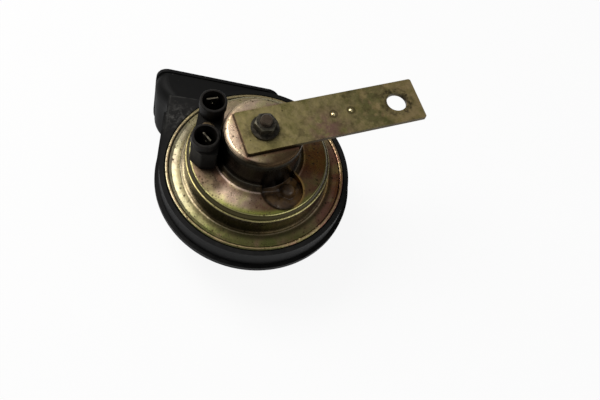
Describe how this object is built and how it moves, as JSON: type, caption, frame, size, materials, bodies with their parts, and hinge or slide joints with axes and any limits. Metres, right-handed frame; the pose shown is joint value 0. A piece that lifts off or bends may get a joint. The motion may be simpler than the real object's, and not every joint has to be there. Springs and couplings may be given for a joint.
{
  "type": "car horn",
  "caption": "Electromagnetic disc horn with a moulded spiral trumpet, a stepped steel back, blade terminals in round sockets and a flat strap bracket.",
  "frame": {"origin": "on the horn's axis at the flat face of the front shell's hub", "axes": "+Z along the horn's axis towards the steel back, the stud and the bracket; +Y the way the trumpet's mouth opens"},
  "size_m": [0.1406, 0.1107, 0.0894],
  "materials": {
    "black_plastic": "moulded, matt, dusty",
    "passivated_steel": "drawn sheet, yellow passivated, glossy",
    "strap_steel": "flat strip, yellow passivated, satin",
    "nut_steel": "dark, slightly rusted",
    "plain_steel": "turned or stamped, bare",
    "spring_steel": "thin rolled strip",
    "gasket_sheet": "soft sheet",
    "bobbin_plastic": "moulded, cream",
    "copper_wire": "enamelled copper wire",
    "laminate": "brown paper laminate",
    "contact_metal": "hard contact buttons",
    "rivet_brass": "domed, dulled",
    "screw_steel": "small turned screw",
    "sealing_lacquer": "brown brushed-on lacquer",
    "terminal_brass": "stamped, dulled"
  },
  "bodies": {
    "root": {"rear_trumpet_shell": "black_plastic", "front_trumpet_shell": "black_plastic", "terminal_block": "black_plastic", "steel_housing": "passivated_steel", "bracket_strap": "strap_steel", "flange_nut": "nut_steel", "pole_core": "nut_steel", "clamp_ring": "plain_steel", "armature": "plain_steel", "armature_washer": "plain_steel", "armature_nut": "plain_steel", "pole_plate": "plain_steel", "backing_plate": "plain_steel", "fixed_contact_arm": "plain_steel", "diaphragm": "spring_steel", "contact_spring": "spring_steel", "diaphragm_gasket": "gasket_sheet", "trumpet_gasket": "gasket_sheet", "coil_bobbin": "bobbin_plastic", "coil_winding": "copper_wire", "upper_insulator": "laminate", "lower_insulator": "laminate", "moving_contact": "contact_metal", "fixed_contact": "contact_metal", "first_contact_rivet": "rivet_brass", "second_contact_rivet": "rivet_brass", "terminal_rivet": "rivet_brass", "adjusting_screw": "screw_steel", "sealing_lacquer": "sealing_lacquer", "upper_blade": "terminal_brass", "lower_blade": "terminal_brass"}
  },
  "joints": []
}
